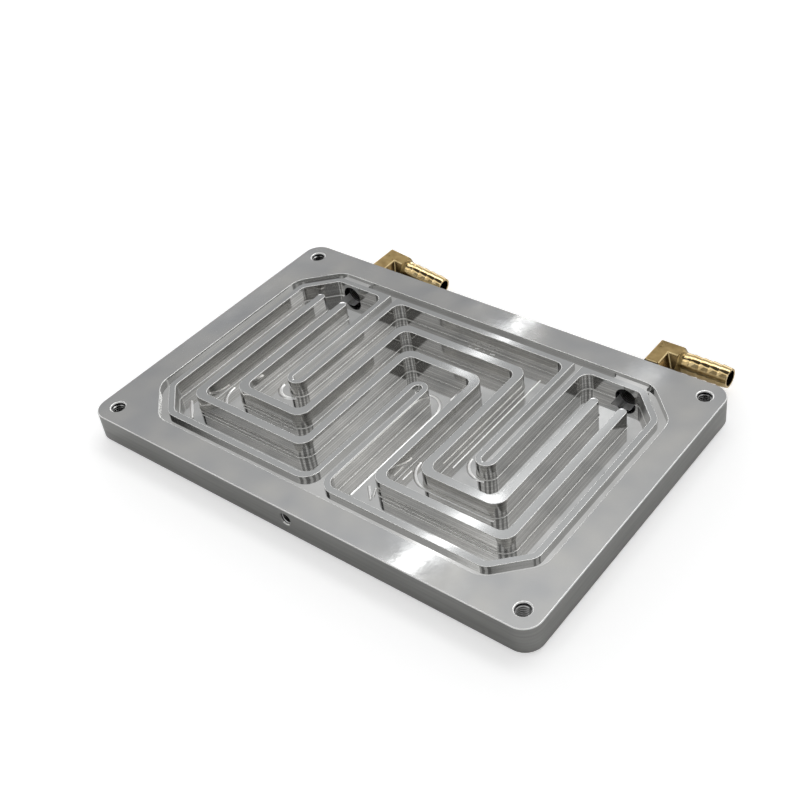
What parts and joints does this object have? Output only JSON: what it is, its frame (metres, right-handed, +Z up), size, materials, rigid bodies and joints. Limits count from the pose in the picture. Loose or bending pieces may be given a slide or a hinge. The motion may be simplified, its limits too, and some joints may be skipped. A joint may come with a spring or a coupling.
{
  "type": "liquid cooling plate",
  "caption": "Milled aluminium liquid cooling plate with folded ribs in an open pocket, a seal groove, tapped corners and brass hose elbows.",
  "frame": {"origin": "centre of the plate's bottom face", "axes": "+X along the plate's long side, the way both hose barbs point; +Y towards the side with the hose elbows; +Z up, out of the open pocket"},
  "size_m": [0.23, 0.17, 0.0148],
  "materials": {
    "milled_aluminium": "satin, as milled",
    "brass": "satin body, bright barbs"
  },
  "bodies": {
    "root": {"cooling_plate": "milled_aluminium", "inlet_elbow": "brass", "outlet_elbow": "brass"}
  },
  "joints": []
}
